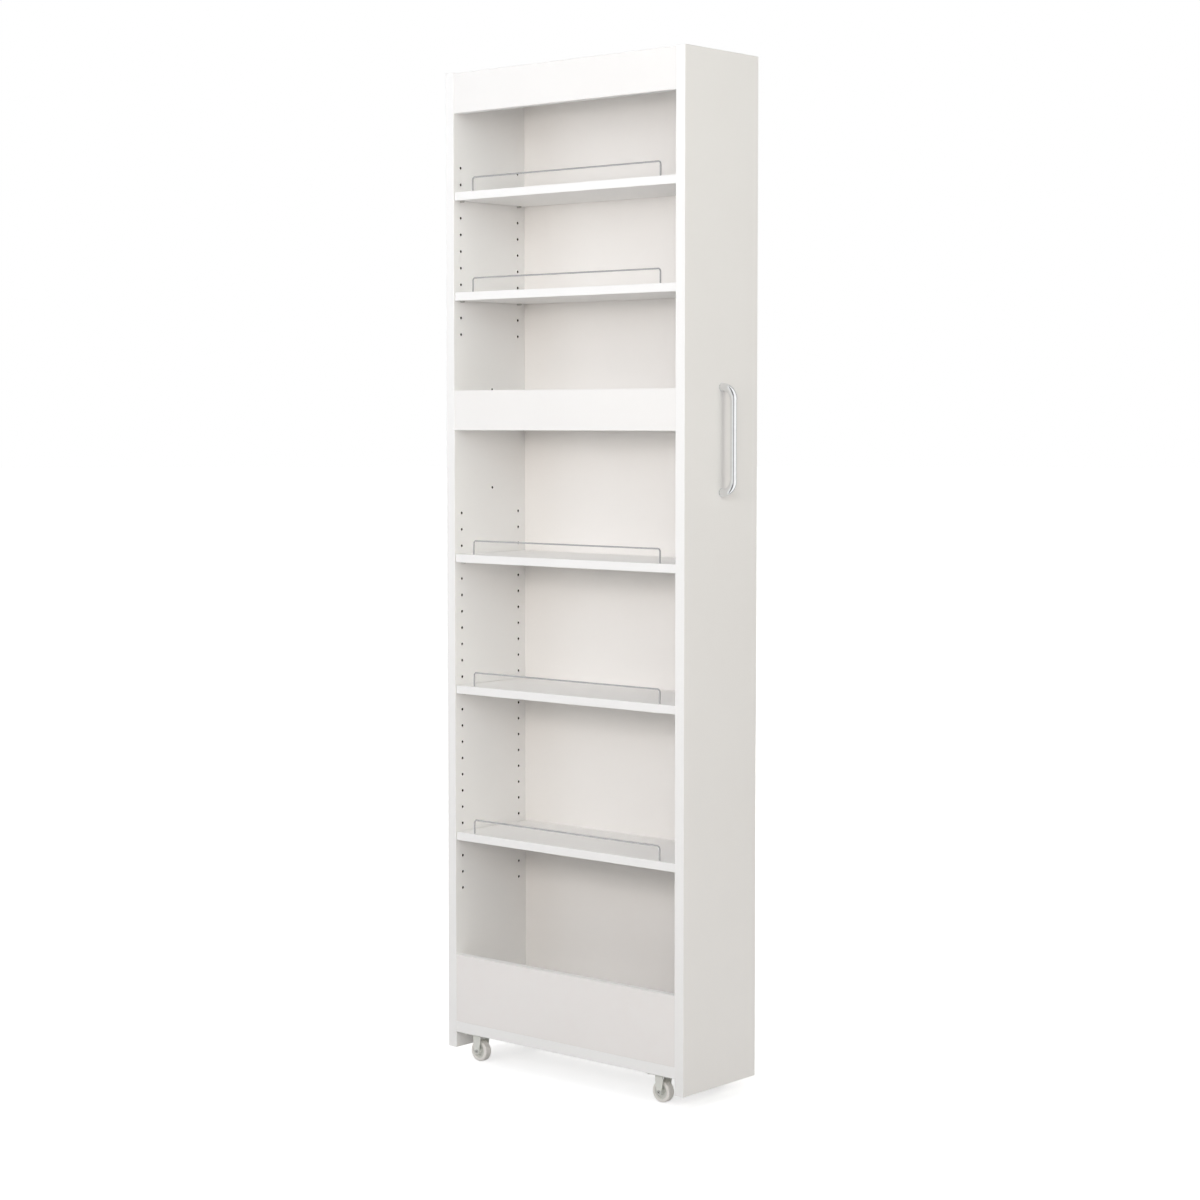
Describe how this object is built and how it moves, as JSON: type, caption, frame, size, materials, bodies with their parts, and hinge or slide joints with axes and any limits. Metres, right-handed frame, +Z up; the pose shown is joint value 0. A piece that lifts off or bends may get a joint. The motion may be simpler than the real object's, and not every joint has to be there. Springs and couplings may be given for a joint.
{
  "type": "rolling pantry cart",
  "caption": "Tall narrow slide-out pantry cabinet on fixed castors, open on one long side, with pegged shelves, wire guards and a bar handle on one end.",
  "frame": {"origin": "centre of the footprint on the floor, handle included", "axes": "+Z up; -X is the open side of the shelves, +X the back panels; -Y is the end with the handle, the cart rolls along Y"},
  "size_m": [0.2, 0.59, 1.8],
  "materials": {
    "white_board": "white melamine foil on particle board, satin",
    "back_board": "white printed hardboard",
    "chrome_wire": "bright chrome-plated wire",
    "chrome_handle": "bright chrome plate",
    "steel_pin": "nickel-plated",
    "zinc_steel": "zinc-plated",
    "white_plastic": "moulded",
    "beech": "fluted beech dowel",
    "fork_paint": "pale grey-green coated pressed steel",
    "hub_plastic": "moulded grey plastic",
    "tyre_soft": "off-white soft tyre"
  },
  "bodies": {
    "cabinet": {"handle_end_panel": "white_board", "plain_end_panel": "white_board", "top_board": "white_board", "header_rail": "white_board", "fixed_middle_shelf": "white_board", "middle_rail": "white_board", "bottom_board": "white_board", "lower_front_board": "white_board", "upper_back_panel": "back_board", "lower_back_panel": "back_board", "shelf_pins": "steel_pin", "cam_bolts": "zinc_steel", "cam_locks": "zinc_steel", "cam_covers": "white_plastic", "dowels": "beech", "handle_bar": "chrome_handle", "handle_elbow_lower": "chrome_handle", "handle_elbow_upper": "chrome_handle", "handle_screws": "zinc_steel", "caster_screws": "zinc_steel", "bracket_open_handle": "fork_paint", "axle_open_handle": "zinc_steel", "bracket_open_plain": "fork_paint", "axle_open_plain": "zinc_steel", "bracket_back_handle": "fork_paint", "axle_back_handle": "zinc_steel", "bracket_back_plain": "fork_paint", "axle_back_plain": "zinc_steel"},
    "shelf_1_body": {"shelf_1": "white_board", "wire_guard_1": "chrome_wire"},
    "shelf_2_body": {"shelf_2": "white_board", "wire_guard_2": "chrome_wire"},
    "shelf_3_body": {"shelf_3": "white_board", "wire_guard_3": "chrome_wire"},
    "shelf_4_body": {"shelf_4": "white_board", "wire_guard_4": "chrome_wire"},
    "shelf_5_body": {"shelf_5": "white_board", "wire_guard_5": "chrome_wire"},
    "wheel_open_handle": {"hub_open_handle": "hub_plastic", "tyre_open_handle": "tyre_soft"},
    "wheel_open_plain": {"hub_open_plain": "hub_plastic", "tyre_open_plain": "tyre_soft"},
    "wheel_back_handle": {"hub_back_handle": "hub_plastic", "tyre_back_handle": "tyre_soft"},
    "wheel_back_plain": {"hub_back_plain": "hub_plastic", "tyre_back_plain": "tyre_soft"}
  },
  "joints": [
    {"name": "shelf_1_lift", "type": "slide", "parent": "cabinet", "child": "shelf_1_body", "axis": [0, 0, 1], "range_m": [0, 0.06]},
    {"name": "shelf_2_lift", "type": "slide", "parent": "cabinet", "child": "shelf_2_body", "axis": [0, 0, 1], "range_m": [0, 0.09]},
    {"name": "shelf_3_lift", "type": "slide", "parent": "cabinet", "child": "shelf_3_body", "axis": [0, 0, 1], "range_m": [0, 0.09]},
    {"name": "shelf_4_lift", "type": "slide", "parent": "cabinet", "child": "shelf_4_body", "axis": [0, 0, 1], "range_m": [0, 0.15]},
    {"name": "shelf_5_lift", "type": "slide", "parent": "cabinet", "child": "shelf_5_body", "axis": [0, 0, 1], "range_m": [0, 0.18]},
    {"name": "wheel_open_handle_spin", "type": "hinge", "parent": "cabinet", "child": "wheel_open_handle", "pos_m": [-0.078, -0.201, 0.019], "axis": [1, 0, 0], "continuous": true},
    {"name": "wheel_open_plain_spin", "type": "hinge", "parent": "cabinet", "child": "wheel_open_plain", "pos_m": [-0.078, 0.233, 0.019], "axis": [1, 0, 0], "continuous": true},
    {"name": "wheel_back_handle_spin", "type": "hinge", "parent": "cabinet", "child": "wheel_back_handle", "pos_m": [0.078, -0.201, 0.019], "axis": [1, 0, 0], "continuous": true},
    {"name": "wheel_back_plain_spin", "type": "hinge", "parent": "cabinet", "child": "wheel_back_plain", "pos_m": [0.078, 0.233, 0.019], "axis": [1, 0, 0], "continuous": true}
  ]
}
